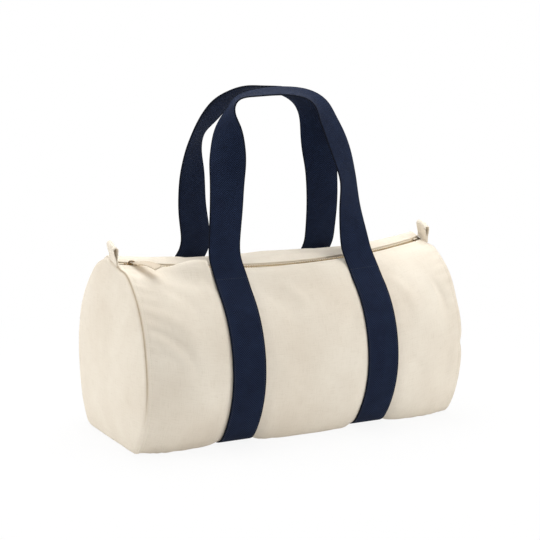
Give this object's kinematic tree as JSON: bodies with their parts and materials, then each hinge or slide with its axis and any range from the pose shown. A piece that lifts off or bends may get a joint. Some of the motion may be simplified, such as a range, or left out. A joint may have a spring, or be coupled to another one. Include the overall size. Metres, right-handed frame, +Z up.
{
  "type": "bag",
  "caption": "Soft barrel duffel bag in natural canvas with dark webbing carry handles, a curved top zip and end tabs",
  "frame": {"origin": "middle of the bag's length and width on the floor it stands on", "axes": "+X along the bag toward its right end, -Y toward the front with the zip slope, +Z up"},
  "size_m": [0.5224, 0.2621, 0.4766],
  "materials": {
    "canvas": "plain woven cotton",
    "webbing": "twill woven cotton webbing",
    "zip_tape": "herringbone woven tape",
    "binding": "folded cotton tape",
    "antique_brass": "antique, worn on the edges"
  },
  "bodies": {
    "bag": {"body_panel": "canvas", "end_panel_left": "canvas", "end_panel_right": "canvas", "seam_binding_left": "binding", "seam_binding_right": "binding", "zip_tape_front": "zip_tape", "zip_tape_back": "zip_tape", "zip_teeth_front": "antique_brass", "zip_teeth_back": "antique_brass", "zip_top_stops": "antique_brass", "zip_bottom_stop": "antique_brass", "band_left": "webbing", "band_right": "webbing", "tab_left": "canvas", "tab_right": "canvas"},
    "handle_front": {"handle_front": "webbing"},
    "handle_back": {"handle_back": "webbing"},
    "zip_slider": {"zip_slider": "antique_brass"},
    "zip_pull_link": {"zip_pull_link": "antique_brass"},
    "pull_strip": {"pull_strip": "canvas"}
  },
  "joints": [
    {"name": "handle_front_fold", "type": "hinge", "parent": "bag", "child": "handle_front", "pos_m": [0, -0.0565, 0.23514], "axis": [1, 0, 0], "range_deg": [0, 105]},
    {"name": "handle_back_fold", "type": "hinge", "parent": "bag", "child": "handle_back", "pos_m": [0, 0.0565, 0.23157], "axis": [-1, 0, 0], "range_deg": [0, 105]},
    {"name": "slider_travel", "type": "hinge", "parent": "bag", "child": "zip_slider", "pos_m": [-0.012, 0.65967, 0.44986], "axis": [0, -0.2924, 0.9563], "range_deg": [0, 35.8], "deforming": ["pull_strip"]},
    {"name": "pull_link_lift", "type": "hinge", "parent": "zip_slider", "child": "zip_pull_link", "pos_m": [-0.228, -0.01832, 0.24664], "axis": [-0.9203, -0.3741, -0.1144], "range_deg": [0, 100]},
    {"name": "pull_strip_swing", "type": "hinge", "parent": "zip_pull_link", "child": "pull_strip", "pos_m": [-0.22565, -0.02416, 0.24684], "axis": [-0.9203, -0.3741, -0.1144], "range_deg": [0, 60]}
  ]
}
